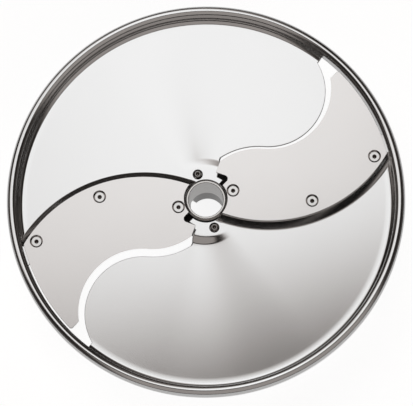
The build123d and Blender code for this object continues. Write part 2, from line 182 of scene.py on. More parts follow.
# Dim light in front, at the sides and behind: slopes as well, but HORIZON and SIDE_TOP are rises of the ray
FRONT_TOP = (0.06, -0.02)
FRONT_BREADTH = 0.25
FRONT_SPREAD = (1.25, 0.75)
FRONT_STRENGTH = 0.3
HORIZON = (0.2, 0.28)
SIDE_TOP = (0.66, 0.56)
SIDE_STRENGTH = 0.06
ROOM_STRENGTH = 0.012
BEHIND_TOP = (0.6, 1.2)
BEHIND_FOOT = (3.0, 2.0)
BEHIND_SPREAD = (1.0, 0.45)
BEHIND_STRENGTH = 0.16

# Dark of the studio, and the least rise and slope that a ray is taken to have
DARK_STRENGTH = 0.004
DARK_TINT = (1.0, 0.88, 0.81)
LEAST_RISE = 0.02
LEAST_SLOPE = 0.02

# Floor
FLOOR_REACH = 3000.0
FLOOR_TONE = 0.5
FLOOR_TO_CAMERA = 0.88
FLOOR_IN_METAL = 0.4

# Camera, at the photograph's viewing angle
VIEW_DISTANCE = 1300.0
VIEW_ELEVATION = 77.8
VIEW_AZIMUTH = -10.8
VIEW_ROLL = -6.29
VIEW_TARGET = (-0.011, -0.744, 34.5)
VIEW_DEPTH = 13000.0
FOCAL_PIXELS = 2511.4
IMAGE_WIDTH = 413
SENSOR_WIDTH = 36.0

# Sizes that follow
WALL_RADIUS = OUTER_RADIUS - RIM_WIDTH
SHOULDER_RADIUS = WALL_RADIUS - OPENING_SHOULDER
OPENING_RADIUS = WALL_RADIUS - OPENING_RIM_GAP
TIGHT_BEND_CENTRE = WALL_RADIUS - TIGHT_BEND
GENTLE_BEND_CENTRE = TIGHT_BEND_CENTRE - (GENTLE_BEND - TIGHT_BEND) * sin(radians(GENTLE_BEND_ANGLE))
TIGHT_BEND_LEVEL = GENTLE_BEND - (GENTLE_BEND - TIGHT_BEND) * cos(radians(GENTLE_BEND_ANGLE))
BEND_SPLIT_ANGLE = degrees(asin((OPENING_RADIUS - TIGHT_BEND_CENTRE) / TIGHT_BEND))
CREST_RADIUS = RIM_WIDTH / 2
CREST_LEVEL = RIM_LEVEL - CREST_RADIUS
PLATFORM_LEVEL = BLADE_TOP_LEVEL - BLADE_THICKNESS
BLADE_OUTER_RADIUS = WALL_RADIUS - BLADE_RIM_GAP
BLADE_TOP = LOW_FLOOR_HEIGHT + BLADE_TOP_LEVEL
FLOOR_EDGE_RADIUS = EDGE_RADIUS - SLICE_GAP
INNER_FLOOR_RADIUS = EDGE_RADIUS + SLICE_GAP
SLOT_CORNER_RADIUS = hypot(PLATFORM_CORNER_DISTANCE, SLOT_WIDTH / 2)
SLOT_CORNER_ANGLE = SLOT_ANGLE - degrees(atan2(SLOT_WIDTH / 2, PLATFORM_CORNER_DISTANCE))


# Plan geometry

def polar(radius, angle, centre=(0.0, 0.0)):
    """Point, or row of points, at a radius and an angle from a centre."""
    turn = np.radians(angle)
    return np.stack([centre[0] + radius * np.cos(turn), centre[1] + radius * np.sin(turn)], axis=-1)


def angle_of(point, centre=(0.0, 0.0)):
    """Angle at which a point is seen from a centre."""
    return degrees(atan2(point[1] - centre[1], point[0] - centre[0]))


def crossing(radius, centre, about, side):
    """Angle about the axis, at a radius from it, where a circle about another centre is crossed:
    the centre's own angle plus or minus the one that the law of cosines gives."""
    far = hypot(*centre)
    swing = (radius**2 + far**2 - about**2) / (2 * radius * far)
    return angle_of(centre) + side * np.degrees(np.arccos(np.clip(swing, -1, 1)))


def circle_through(a, b, c):
    """Centre and radius of the circle through three points: the meet of two middle lines."""
    rows = 2 * np.stack([b - a, c - a])
    centre = np.linalg.solve(rows, [b @ b - a @ a, c @ c - a @ a])
    return tuple(centre), hypot(*(a - centre))


def ray_meets(angle, centre, about):
    """Far radius at which a radial line crosses a circle about a centre."""
    along = centre[0] * cos(radians(angle)) + centre[1] * sin(radians(angle))
    return along + sqrt(along**2 - hypot(*centre) ** 2 + about**2)


def arc_points(centre, start, end, turn, count):
    """Points on an arc about a centre from start towards end, without the end; turn 1 is anticlockwise."""
    first = angle_of(start, centre)
    sweep = (turn * (angle_of(end, centre) - first)) % 360
    radius = hypot(start[0] - centre[0], start[1] - centre[1])
    return polar(radius, first + turn * sweep * np.arange(count) / count, centre)


# Places that follow
BLADE_CENTRE = tuple(polar(BLADE_CENTRE_DISTANCE, BLADE_CENTRE_ANGLE))
INNER_CENTRE = tuple(polar(2 * EDGE_RADIUS, TURNING_ANGLE, BLADE_CENTRE))
TURNING_RADIUS = hypot(*polar(FLOOR_EDGE_RADIUS, TURNING_ANGLE, BLADE_CENTRE))
FLOOR_END_RADIUS = ray_meets(OPENING_END_ANGLE, INNER_CENTRE, INNER_FLOOR_RADIUS)
TIP_ANGLE = crossing(BLADE_OUTER_RADIUS - TIP_CUT, BLADE_CENTRE, EDGE_RADIUS, -1)
BACK_START = polar(BLADE_HUB_RADIUS, crossing(BLADE_HUB_RADIUS, BLADE_CENTRE, BACK_RADIUS, -1))
FRONT_CENTRE, FRONT_RADIUS = circle_through(
    polar(OPENING_RADIUS, PLATFORM_RIM_ANGLE),
    polar(MIDDLE_SCREW[0] - SCREW_LAND, MIDDLE_SCREW[1], BLADE_CENTRE),
    polar(SLOT_CORNER_RADIUS, SLOT_CORNER_ANGLE),
)


def slot_angle(radius, side):
    """Angle of one side of the slot at the hub: half its width seen from the axis."""
    return SLOT_ANGLE + side * np.degrees(np.arcsin(SLOT_WIDTH / 2 / radius))


def front_angle(radius):
    """Angle of the platform's front edge: the slot's side near the hub, then one arc to the rim."""
    arc = crossing(radius, FRONT_CENTRE, FRONT_RADIUS, -1)
    return np.where(radius < SLOT_CORNER_RADIUS, slot_angle(radius, -1), arc)


def floor_angle(radius):
    """Angle of the floor's S-shaped edge: a straight end, two arcs and a radial shoulder at the rim."""
    end = np.interp(radius, [TONGUE_RADIUS, FLOOR_END_RADIUS], [TONGUE_ANGLE, OPENING_END_ANGLE])
    inner = crossing(radius, INNER_CENTRE, INNER_FLOOR_RADIUS, 1)
    outer = crossing(np.minimum(radius, SHOULDER_RADIUS), BLADE_CENTRE, FLOOR_EDGE_RADIUS, -1)
    return np.where(radius < FLOOR_END_RADIUS, end, np.where(radius < TURNING_RADIUS, inner, outer))


def screw_places():
    """Places of the right blade's three screws, from the rim to the hub."""
    outer, middle = (polar(*screw, BLADE_CENTRE) for screw in (OUTER_SCREW, MIDDLE_SCREW))
    return [outer, middle, np.array([HUB_PITCH_RADIUS, 0.0])]


# Mesh helpers

def half_turned(points):
    """The same points, half a turn further round the axis."""
    return points * np.array([-1.0, -1.0, 1.0])


def grid_faces(rows, columns, first):
    """Quads of a grid of points numbered row by row, the rows outwards and the columns anticlockwise."""
    number = first + np.arange(rows * columns).reshape(rows, columns)
    corners = [number[:-1, :-1], number[1:, :-1], number[1:, 1:], number[:-1, 1:]]
    return np.stack(corners, axis=-1).reshape(-1, 4)


def welded_mesh(name, points, faces):
    """Mesh from points in millimetres and faces, with doubled points merged."""
    mesh = bpy.data.meshes.new(name)
    mesh.from_pydata((points * MM).tolist(), [], faces)
    work = bmesh.new()
    work.from_mesh(mesh)
    bmesh.ops.remove_doubles(work, verts=work.verts, dist=WELD * MM)
    work.to_mesh(mesh)
    work.free()
    return mesh


def placed(name, data):
    """Object at the origin, linked to the scene."""
    made = bpy.data.objects.new(name, data)
    bpy.context.scene.collection.objects.link(made)
    return made


def smooth_all(mesh):
    """Shades every face of a mesh smooth."""
    mesh.polygons.foreach_set("use_smooth", np.ones(len(mesh.polygons), dtype=bool))


def piece(name, points, faces, material):
    """New piece of the disc, which rides on its one body and takes its finish from a slot."""
    mesh = welded_mesh(name, points, faces)
    smooth_all(mesh)
    mesh.materials.append(material)
    made = placed(name, mesh)
    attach(made, "root")
    return made


# Pressed plate

def soft_ramp(value, softness):
    """Zero below zero and the value itself above, with a parabola that joins them smoothly."""
    bend = (value + softness) ** 2 / (4 * softness)
    return np.where(value < -softness, 0.0, np.where(value > softness, value, bend))


def floor_level(angle):
    """Level of the floor: low, then a ramp with rounded creases, then high."""
    span = RAMP_END_ANGLE - RAMP_START_ANGLE
    rise = (angle - RAMP_START_ANGLE) / span
    softness = CREASE_ANGLE / span
    return HIGH_FLOOR_LEVEL * (soft_ramp(rise, softness) - soft_ramp(rise - 1, softness))


def plateau_share(radius):
    """One on the plateau about the hub, falling to nought along its slope, with rounded bends."""
    down = (radius - PLATEAU_RADIUS) / PLATEAU_SLOPE_RUN
    softness = PLATEAU_BEND / PLATEAU_SLOPE_RUN
    return 1 - soft_ramp(down, softness) + soft_ramp(down - 1, softness)


def bend_rise(radius):
    """Height of the bend between floor and wall: a gentle arc, then a tight one that runs on from it."""
    gentle = np.clip(radius - GENTLE_BEND_CENTRE, 0, GENTLE_BEND)
    tight = np.clip(radius - TIGHT_BEND_CENTRE, 0, TIGHT_BEND)
    join = GENTLE_BEND_CENTRE + GENTLE_BEND * sin(radians(GENTLE_BEND_ANGLE))
    gentle_rise = GENTLE_BEND - np.sqrt(GENTLE_BEND**2 - gentle**2)
    return np.where(radius < join, gentle_rise, TIGHT_BEND_LEVEL - np.sqrt(TIGHT_BEND**2 - tight**2))


def sheet_level(radius, angle):
    """Level of the sheet's upper side: the higher of floor and platform, with soft bends between.
    The platform is flat and slopes down outside a circle about the blade's centre."""
    level = floor_level(angle)
    floor = level + (HIGH_FLOOR_LEVEL - level) * plateau_share(radius) + bend_rise(radius)
    points = polar(radius, angle)
    beyond = np.hypot(points[..., 0] + BLADE_CENTRE[0], points[..., 1] + BLADE_CENTRE[1]) - BACK_RADIUS
    slope = (PLATFORM_LEVEL - HIGH_FLOOR_LEVEL) / STEP_RUN
    platform = PLATFORM_LEVEL - soft_ramp(slope * beyond, STEP_TOP_BEND)
    return floor + soft_ramp(platform - floor, STEP_FOOT_BEND)


def raised(radius, angle, level):
    """Points from radius, angle and level above the low floor."""
    radius, angle, level = np.broadcast_arrays(radius, angle, level)
    return np.concatenate([polar(radius, angle), LOW_FLOOR_HEIGHT + level[..., None]], axis=-1)


def lines_between(stops, counts):
    """Angles of the grid's columns: each stretch between two stops is cut in equal parts."""
    parts = [stops[0][:, None]]
    for start, end, count in zip(stops[:-1], stops[1:], counts):
        share = np.arange(1, count + 1) / count
        parts.append(start[:, None] + (end - start)[:, None] * share)
    return np.concatenate(parts, axis=1)


def floor_columns(radius):
    """Angles of the columns from the floor's S-edge, over ramp and step, to the next platform's front."""
    foot = 180 + crossing(radius, BLADE_CENTRE, BACK_RADIUS + STEP_RUN + STEP_MARGIN, -1)
    top = 180 + crossing(radius, BLADE_CENTRE, BACK_RADIUS - STEP_MARGIN, -1)
    ramp_end = np.minimum(RAMP_END_ANGLE, foot - 1)
    ramp_start = np.full_like(radius, RAMP_START_ANGLE)
    stops = [floor_angle(radius), ramp_start, ramp_end, foot, top, 180 + front_angle(radius)]
    return lines_between(stops, FLOOR_COLUMNS)


def floor_grid():
    """One half of the floor: rows at growing radius, columns round from one opening to the next."""
    ring_rows, slope_rows, floor_rows, gentle_rows, tight_rows = FLOOR_ROWS
    plateau_end = PLATEAU_RADIUS - PLATEAU_BEND
    slope_end = PLATEAU_RADIUS + PLATEAU_SLOPE_RUN + PLATEAU_BEND
    gentle = np.radians(np.linspace(0, GENTLE_BEND_ANGLE, gentle_rows, endpoint=False))
    tight = np.radians(np.linspace(GENTLE_BEND_ANGLE, BEND_SPLIT_ANGLE, tight_rows))
    radius = np.concatenate([
        np.linspace(TONGUE_RADIUS, plateau_end, ring_rows, endpoint=False),
        np.linspace(plateau_end, slope_end, slope_rows, endpoint=False),
        np.linspace(slope_end, GENTLE_BEND_CENTRE, floor_rows, endpoint=False),
        GENTLE_BEND_CENTRE + GENTLE_BEND * np.sin(gentle),
        TIGHT_BEND_CENTRE + TIGHT_BEND * np.sin(tight),
    ])
    angle = floor_columns(radius)
    return raised(radius[:, None], angle, sheet_level(radius[:, None], angle))


def tongue_grid():
    """The ring about the hub's hole, from a slot's side to the next slot, wider than the floor beyond it:
    its columns are those of the floor's first row, shifted as the slot's side moves, and the tongue's own."""
    radius = np.linspace(HUB_HOLE_RADIUS, TONGUE_RADIUS, TONGUE_ROWS)
    stops = [slot_angle(radius, 1), np.full_like(radius, TONGUE_ANGLE)]
    tongue = lines_between(stops, (TONGUE_COLUMNS,))
    rest = floor_columns(np.full_like(radius, TONGUE_RADIUS))
    shift = slot_angle(radius, -1) - slot_angle(TONGUE_RADIUS, -1)
    share = (rest - TONGUE_ANGLE) / (rest[:, -1:] - TONGUE_ANGLE)
    angle = np.concatenate([tongue[:, :-1], rest + shift[:, None] * share], axis=1)
    return raised(radius[:, None], angle, sheet_level(radius[:, None], angle))


def platform_tab():
    """Strip by which a step and its platform run on level from the floor's last row into the wall."""
    radius = np.array([OPENING_RADIUS, WALL_RADIUS + SHEET / 2])
    angle = floor_columns(radius[:1])[:, sum(FLOOR_COLUMNS[:3]):]
    return raised(radius[:, None], angle, sheet_level(OPENING_RADIUS, angle))


def rim_columns():
    """Angles of the rim's columns, all round, and the level from which the wall's bend rises at each. Half a
    turn is the floor's last row and then an opening's own columns, along which that level falls."""
    floor = floor_columns(np.array([OPENING_RADIUS]))[0]
    opening = np.linspace(floor[-1], 180 + floor[0], OPENING_COLUMNS + 1)[1:-1]
    half = np.concatenate([floor, opening])
    angle = np.concatenate([half, half + 180, half[:1] + 360])
    falling = HIGH_FLOOR_LEVEL * np.clip(1 - (opening - floor[-1]) / WALL_FOOT_FALL_ANGLE, 0, 1)
    base = np.concatenate([floor_level(floor), falling])
    return angle, np.concatenate([base, base, base[:1]])


def rim_grid():
    """The rim, all round: rest of the bend, wall, crest and skirt, one section carried round. The crest is
    half of a curve on which powers of the two distances from its centre add up to one, a little flatter than
    a circle."""
    angle, base = rim_columns()
    wall_foot = base + TIGHT_BEND_LEVEL
    bend_rows, wall_rows, crest_rows, skirt_rows = RIM_ROWS
    bend = np.radians(np.linspace(BEND_SPLIT_ANGLE, 90, bend_rows))[:, None]
    wall = np.linspace(0, 1, wall_rows + 1)[1:, None]
    crest = np.radians(np.linspace(180, 0, crest_rows + 1))[1:, None]
    outwards = np.sign(np.cos(crest)) * np.abs(np.cos(crest)) ** (2 / CREST_POWER)
    upwards = np.abs(np.sin(crest)) ** (2 / CREST_POWER)
    skirt = np.linspace(CREST_LEVEL, RIM_LEVEL - SKIRT_DROP, skirt_rows + 1)[1:, None]
    radius = np.concatenate([
        TIGHT_BEND_CENTRE + TIGHT_BEND * np.sin(bend),
        np.full_like(wall, WALL_RADIUS),
        WALL_RADIUS + CREST_RADIUS * (1 + outwards),
        np.full_like(skirt, OUTER_RADIUS),
    ])
    level = np.concatenate([
        wall_foot - TIGHT_BEND * np.cos(bend),
        wall_foot + (CREST_LEVEL - wall_foot) * wall,
        CREST_LEVEL + CREST_RADIUS * upwards + 0 * base,
        skirt + 0 * base,
    ])
    return raised(radius, angle, level)


def punch_places():
    """Places of the eight holes with the sheet's level there: six under the blades, two beside the hub."""
    half = [(*-place, LOW_FLOOR_HEIGHT + PLATFORM_LEVEL) for place in screw_places()]
    half.append((0.0, HUB_PITCH_RADIUS, LOW_FLOOR_HEIGHT + HIGH_FLOOR_LEVEL))
    half = np.array(half)
    return np.concatenate([half, half_turned(half)])


def punch(sheet, places):
    """Punches round holes in the sheet: the faces about each place are taken out, and triangles fill the
    space between the edge that is left and a circle of the hole's size at the sheet's level."""
    centres = np.empty(3 * len(sheet.polygons))
    sheet.polygons.foreach_get("center", centres)
    centres = centres.reshape(-1, 3)[:, :2] / MM
    near = [np.flatnonzero(np.hypot(*(centres - place[:2]).T) < PUNCH_CLEARANCE) for place in places]
    turn = np.linspace(0, 360, PUNCH_SIDES, endpoint=False)
    work = bmesh.new()
    work.from_mesh(sheet)
    work.faces.ensure_lookup_table()
    taken = [[work.faces[number] for number in numbers] for numbers in near]
    for place, around in zip(places, taken):
        inside = set(around)
        edges = [edge for face in around for edge in face.edges
                 if any(other not in inside for other in edge.link_faces)]
        bmesh.ops.delete(work, geom=around, context="FACES_ONLY")
        circle = polar(HOLE_DIAMETER / 2, turn, place[:2]) * MM
        ring = [work.verts.new((*point, place[2] * MM)) for point in circle]
        edges += [work.edges.new(pair) for pair in zip(ring, ring[1:] + ring[:1])]
        bmesh.ops.triangle_fill(work, edges=edges, use_beauty=True, normal=(0, 0, 1))
    loose = [edge for edge in work.edges if not edge.link_faces]
    bmesh.ops.delete(work, geom=loose, context="EDGES")
    work.to_mesh(sheet)
    work.free()
    smooth_all(sheet)


def sheet_body():
    """Points and faces of the sheet: floor, tongue and tab, each with the same one half a turn further round,
    and the rim."""
    grids = []
    for grid in (floor_grid(), tongue_grid(), platform_tab()):
        grids += [grid, half_turned(grid)]
    grids.append(rim_grid())
    points = [grid.reshape(-1, 3) for grid in grids]
    firsts = np.cumsum([0] + [len(group) for group in points])
    faces = [grid_faces(*grid.shape[:2], first) for grid, first in zip(grids, firsts)]
    return np.concatenate(points), np.concatenate(faces).tolist()


def plate(material, cut_material):
    """Pressed plate: the sheet is punched and gets its thickness downwards, and its dull cut edges are a
    little rounded."""
    points, faces = sheet_body()
    made = piece("plate_sheet", points, faces, material)
    made.data.materials.append(cut_material)
    punch(made.data, punch_places())
    wall = made.modifiers.new("sheet", "SOLIDIFY")
    wall.thickness = SHEET * MM
    wall.offset = -1
    wall.use_even_offset = True
    wall.material_offset_rim = 1
    edge = made.modifiers.new("edge_break", "BEVEL")
    edge.width = CUT_EDGE_ROUND * MM
    edge.segments = CUT_EDGE_SEGMENTS
    edge.limit_method = "ANGLE"
    edge.angle_limit = radians(CUT_EDGE_ANGLE)
    edge.use_clamp_overlap = False
    edge.harden_normals = True
    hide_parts("disc_plate")


# Blades

def slot_side_point(distance):
    """Point on the blade's side of the hub slot at a distance along the blade's end line."""
    lean = radians(BLADE_END_ANGLE - SLOT_ANGLE)
    along = (distance + SLOT_WIDTH / 2 * sin(lean)) / cos(lean)
    return polar(SLOT_WIDTH / 2, SLOT_ANGLE - 90, polar(along, SLOT_ANGLE))


def notch_side_point(centre, about):
    """Point where a circle about a centre crosses the notch's side, square to the blade's end line."""
    end_line = radians(BLADE_END_ANGLE)
    along = centre[0] * cos(end_line) + centre[1] * sin(end_line)
    aside = centre[0] * sin(end_line) - centre[1] * cos(end_line)
    run = aside - sqrt(about**2 - (BLADE_NOTCH_DISTANCE - along) ** 2)
    return polar(run, BLADE_END_ANGLE - 90, polar(BLADE_NOTCH_DISTANCE, BLADE_END_ANGLE))


def back_and_tip():
    """First stretch of the right blade's outline, anticlockwise: arcs for back, rim side and rounded tip."""
    back_end = polar(BLADE_OUTER_RADIUS, crossing(BLADE_OUTER_RADIUS, BLADE_CENTRE, BACK_RADIUS, -1))
    round_radius = BLADE_OUTER_RADIUS - TIP_ROUND
    round_angle = TIP_ANGLE - degrees(asin(TIP_ROUND / round_radius))
    round_centre = polar(round_radius, round_angle)
    round_start = polar(BLADE_OUTER_RADIUS, round_angle)
    round_end = polar(TIP_ROUND, TIP_ANGLE + 90, round_centre)
    return np.concatenate([
        arc_points(BLADE_CENTRE, BACK_START, back_end, 1, BACK_POINTS),
        arc_points((0, 0), back_end, round_start, 1, RIM_SIDE_POINTS),
        arc_points(round_centre, round_start, round_end, 1, TIP_POINTS),
        round_end[None],
    ])


def cutting_edge(inset):
    """Second stretch, the S of the cutting edge up to the notch: two arcs that bend opposite ways, one with
    the inset added to its radius and one with it taken off. An edge that would run past the notch stops at
    the notch's side."""
    start = polar(ray_meets(TIP_ANGLE, BLADE_CENTRE, EDGE_RADIUS + inset), TIP_ANGLE)
    turning = polar(EDGE_RADIUS + inset, TURNING_ANGLE, BLADE_CENTRE)
    inner_turning = polar(EDGE_RADIUS - inset, TURNING_ANGLE + 180, INNER_CENTRE)
    end = polar(ray_meets(BLADE_END_ANGLE, INNER_CENTRE, EDGE_RADIUS - inset), BLADE_END_ANGLE)
    notch_end = polar(BLADE_NOTCH_DISTANCE, BLADE_END_ANGLE)
    if hypot(*end) < BLADE_NOTCH_DISTANCE:
        end = notch_end = notch_side_point(INNER_CENTRE, EDGE_RADIUS - inset)
    return np.concatenate([
        arc_points(BLADE_CENTRE, start, turning, -1, OUTER_EDGE_POINTS),
        arc_points(INNER_CENTRE, inner_turning, end, 1, INNER_EDGE_POINTS),
        end[None],
        notch_end[None],
    ])


def notch_and_hub_side():
    """Last stretch: the notch's rounded corner, the slot's side and the arc round the hub."""
    corner = slot_side_point(BLADE_NOTCH_DISTANCE)
    run = NOTCH_ROUND / tan(radians(90 - BLADE_END_ANGLE + SLOT_ANGLE) / 2)
    round_start = polar(run, BLADE_END_ANGLE + 90, corner)
    round_end = polar(run, SLOT_ANGLE + 180, corner)
    round_centre = polar(NOTCH_ROUND, BLADE_END_ANGLE + 180, round_start)
    hub_side = polar(BLADE_HUB_RADIUS, slot_angle(BLADE_HUB_RADIUS, -1))
    return np.concatenate([
        arc_points(round_centre, round_start, round_end, -1, NOTCH_POINTS),
        round_end[None],
        arc_points((0, 0), hub_side, BACK_START, -1, HUB_SIDE_POINTS),
    ])


def shrunk(outline, by):
    """The outline moved inwards: each point goes sideways from the chord between its neighbours."""
    chord = np.roll(outline, -1, axis=0) - np.roll(outline, 1, axis=0)
    inward = np.stack([-chord[:, 1], chord[:, 0]], axis=1)
    return outline + by * inward / np.linalg.norm(inward, axis=1)[:, None]


def blade_body():
    """Points and faces of the right blade: its outline as three rings, joined by strips. The ring at the
    underside is drawn in along the cutting edge for the bevel, the top one elsewhere by a small break."""
    start = back_and_tip()
    end = notch_and_hub_side()
    lower, outline = (np.concatenate([start, cutting_edge(inset), end]) for inset in (BEVEL_WIDTH, 0))
    count = len(outline)
    around = np.arange(count)
    ahead = np.roll(around, -1)
    ground = (around >= len(start)) & (around < count - len(end) - 1)
    upper = np.where(ground[:, None], outline, shrunk(outline, EDGE_BREAK))
    points = np.concatenate([
        np.column_stack([lower, np.full(count, BLADE_TOP - BLADE_THICKNESS)]),
        np.column_stack([outline, BLADE_TOP - np.where(ground, EDGE_THICKNESS, EDGE_BREAK)]),
        np.column_stack([upper, np.full(count, BLADE_TOP)]),
    ])
    strip = np.stack([around, ahead, count + ahead, count + around], axis=1)
    faces = np.concatenate([strip, count + strip]).tolist()
    faces += [around[::-1].tolist(), (2 * count + around).tolist()]
    return points, faces


def revolved(profile):
    """Closed body of a profile of radius and height that starts and ends on the axis, turned about Z."""
    turn = np.linspace(0, 2 * pi, SINK_SIDES, endpoint=False)
    radius, height = np.array(profile).T[:, :, None]
    points = np.stack([radius * np.cos(turn), radius * np.sin(turn), height + 0 * turn], axis=-1)
    number = np.arange(points.size // 3).reshape(points.shape[:2])
    number = np.concatenate([number, number[:, :1]], axis=1)
    corners = [number[:-1, :-1], number[:-1, 1:], number[1:, 1:], number[1:, :-1]]
    return points.reshape(-1, 3), np.stack(corners, axis=-1).reshape(-1, 4).tolist()


def sink_cutter(number, place):
    """Countersink with its through hole, as one turned body that reaches past both faces of a blade."""
    hole = HOLE_DIAMETER / 2
    sink = SINK_DIAMETER / 2
    bottom = BLADE_TOP - 2 * BLADE_THICKNESS
    top = BLADE_TOP + BLADE_THICKNESS
    points, faces = revolved([
        (0, bottom),
        (hole, bottom),
        (hole, BLADE_TOP - sink + hole),
        (sink, BLADE_TOP),
        (sink + BLADE_THICKNESS, top),
        (0, top),
    ])
    name = f"sink_{number}"
    return placed(name, welded_mesh(name, points + np.array([*place, 0.0]), faces))


def countersink(made, places):
    """Cuts a countersink at each place. Level faces are then shaded flat, and sharp edges stay sharp."""
    cutters = [sink_cutter(number, place) for number, place in enumerate(places)]
    for cutter in cutters:
        cut = made.modifiers.new(cutter.name, "BOOLEAN")
        cut.operation = "DIFFERENCE"
        cut.solver = "EXACT"
        cut.object = cutter
    graph = bpy.context.evaluated_depsgraph_get()
    mesh = bpy.data.meshes.new_from_object(made.evaluated_get(graph))
    made.modifiers.clear()
    made.data = mesh
    for cutter in cutters:
        bpy.data.objects.remove(cutter)
    normals = np.empty(3 * len(mesh.polygons))
    mesh.polygons.foreach_get("normal", normals)
    mesh.polygons.foreach_set("use_smooth", np.abs(normals[2::3]) < FLAT_LIMIT)
    mesh.set_sharp_from_angle(angle=radians(SHARP_ANGLE))


def blade(name, node, material, turned):
    """Blade with its countersinks, on the right or, turned half round the axis, on the left."""
    points, faces = blade_body()
    places = screw_places()
    if turned:
        points = half_turned(points)
        places = [-place for place in places]
    made = piece(name, points, faces, material)
    countersink(made, places)
    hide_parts(node)


# Materials

def arithmetic(tree, operation, first, second=0.0):
    """Result of one step of arithmetic on two sockets, or on a socket and a number."""
    node = tree.nodes.new("ShaderNodeMath")
    node.operation = operation
    for socket, value in zip(node.inputs, (first, second)):
        if isinstance(value, float):
            socket.default_value = value
        else:
            tree.links.new(value, socket)
    return node.outputs["Value"]


def noise(tree, scale, detail):
    """Noise over the piece's own coordinates, at a scale per metre."""
    place = tree.nodes.new("ShaderNodeTexCoord")
    node = tree.nodes.new("ShaderNodeTexNoise")
    node.inputs["Scale"].default_value = scale
    node.inputs["Detail"].default_value = detail
    tree.links.new(place.outputs["Object"], node.inputs["Vector"])
    return node.outputs["Fac"]


def steel(name, tone, roughness, grain_size, grain_depth, variation):
    """Stainless steel: a metal with slight clouds of tone, slightly uneven roughness and a fine grain."""
    material = bpy.data.materials.new(name)
    material.use_nodes = True
    tree = material.node_tree
    shader = tree.nodes["Principled BSDF"]
    shader.inputs["Metallic"].default_value = 1.0
    clouds = noise(tree, CLOUD_SCALE, CLOUD_DETAIL)
    ramp = tree.nodes.new("ShaderNodeValToRGB")
    for stop, end, share in zip(ramp.color_ramp.elements, CLOUD_ENDS, (1 - variation, 1 + variation)):
        stop.position = end
        stop.color = (*[part * share for part in tone], 1)
    tree.links.new(clouds, ramp.inputs["Fac"])
    tree.links.new(ramp.outputs["Color"], shader.inputs["Base Color"])
    rough = tree.nodes.new("ShaderNodeMapRange")
    rough.inputs["To Min"].default_value = roughness * (1 - ROUGHNESS_SPREAD)
    rough.inputs["To Max"].default_value = roughness * (1 + ROUGHNESS_SPREAD)
    tree.links.new(clouds, rough.inputs["Value"])
    tree.links.new(rough.outputs["Result"], shader.inputs["Roughness"])
    bump = tree.nodes.new("ShaderNodeBump")
    bump.inputs["Strength"].default_value = GRAIN_STRENGTH
    bump.inputs["Distance"].default_value = grain_depth * MM
    tree.links.new(noise(tree, 1 / (grain_size * MM), GRAIN_DETAIL), bump.inputs["Height"])
    tree.links.new(bump.outputs["Normal"], shader.inputs["Normal"])
    return material


def plate_finish():
    """Satin sheet, nearly a mirror."""
    return steel("plate_satin_steel", *PLATE_FINISH)


def cut_edge_finish():
    """Dull edge where the sheet is cut."""
    return steel("plate_cut_edge_steel", *CUT_EDGE_FINISH)


def blade_finish():
    """Ground blade, a little duller than the sheet."""
    return steel("blade_ground_steel", *BLADE_FINISH)


def nut_finish():
    """Plain bright nut."""
    return steel("nut_steel", *NUT_FINISH)


def paint_shade(material, share, tone):
    """Paints shade: puts a darker tone over a finish where the share, a socket of the same material, is one.
    """
    nodes = material.node_tree.nodes
    links = material.node_tree.links
    base = nodes["Principled BSDF"].inputs["Base Color"]
    mix = nodes.new("ShaderNodeMix")
    mix.data_type = "RGBA"
    links.new(share, mix.inputs["Factor"])
    links.new(base.links[0].from_socket, mix.inputs["A"])
    mix.inputs["B"].default_value = (*tone, 1)
    links.new(mix.outputs["Result"], base)


def mixed_roughness(material, share, roughness):
    """Makes a finish duller where the share, a socket of the same material, is one."""
    nodes = material.node_tree.nodes
    links = material.node_tree.links
    rough = nodes["Principled BSDF"].inputs["Roughness"]
    mix = nodes.new("ShaderNodeMix")
    links.new(share, mix.inputs["Factor"])
    links.new(rough.links[0].from_socket, mix.inputs["A"])
    mix.inputs["B"].default_value = roughness
    links.new(mix.outputs["Result"], rough)


def axis_distance(material, place):
    """Distance, in metres, of the shaded point from the upright line through a place."""
    nodes = material.node_tree.nodes
    links = material.node_tree.links
    point = nodes.new("ShaderNodeTexCoord")
    flat = nodes.new("ShaderNodeVectorMath")
    flat.operation = "MULTIPLY"
    flat.inputs[1].default_value = (1, 1, 0)
    links.new(point.outputs["Object"], flat.inputs[0])
    away = nodes.new("ShaderNodeVectorMath")
    away.operation = "DISTANCE"
    away.inputs[1].default_value = (place[0] * MM, place[1] * MM, 0)
    links.new(flat.outputs["Vector"], away.inputs[0])
    return away.outputs["Value"]


def point_height(material):
    """Height of the shaded point above the hub's lower end, in metres."""
    nodes = material.node_tree.nodes
    point = nodes.new("ShaderNodeTexCoord")
    axes = nodes.new("ShaderNodeSeparateXYZ")
    material.node_tree.links.new(point.outputs["Object"], axes.inputs["Vector"])
    return axes.outputs["Z"]


def hub_finish():
    """Turned steel with a dull chamfer, painted shade on the flange round it, and painted shade in the lower
    part of the bore.
    """
    material = steel("hub_turned_steel_painted_shade", *HUB_FINISH)
    calc = partial(arithmetic, material.node_tree)
    away = axis_distance(material, (0, 0))
    chamfer = calc("GREATER_THAN", away, (HUB_RADIUS - HUB_CHAMFER + EDGE_BREAK) * MM)
    mixed_roughness(material, chamfer, CHAMFER_ROUGHNESS)
    # Painted shade: the flange outside the ring is made near black
    flange_shade = calc("GREATER_THAN", away, (HUB_RADIUS - EDGE_BREAK) * MM)
    paint_shade(material, flange_shade, FLANGE_PAINTED_SHADE)
    # Painted shade: the bore's wall is darker below BORE_SHADE_HEIGHT
    low = calc("LESS_THAN", point_height(material), BORE_SHADE_HEIGHT * MM)
    inside = calc("LESS_THAN", away, (BORE_RADIUS + EDGE_BREAK) * MM)
    paint_shade(material, calc("MULTIPLY", low, inside), BORE_PAINTED_SHADE)
    return material


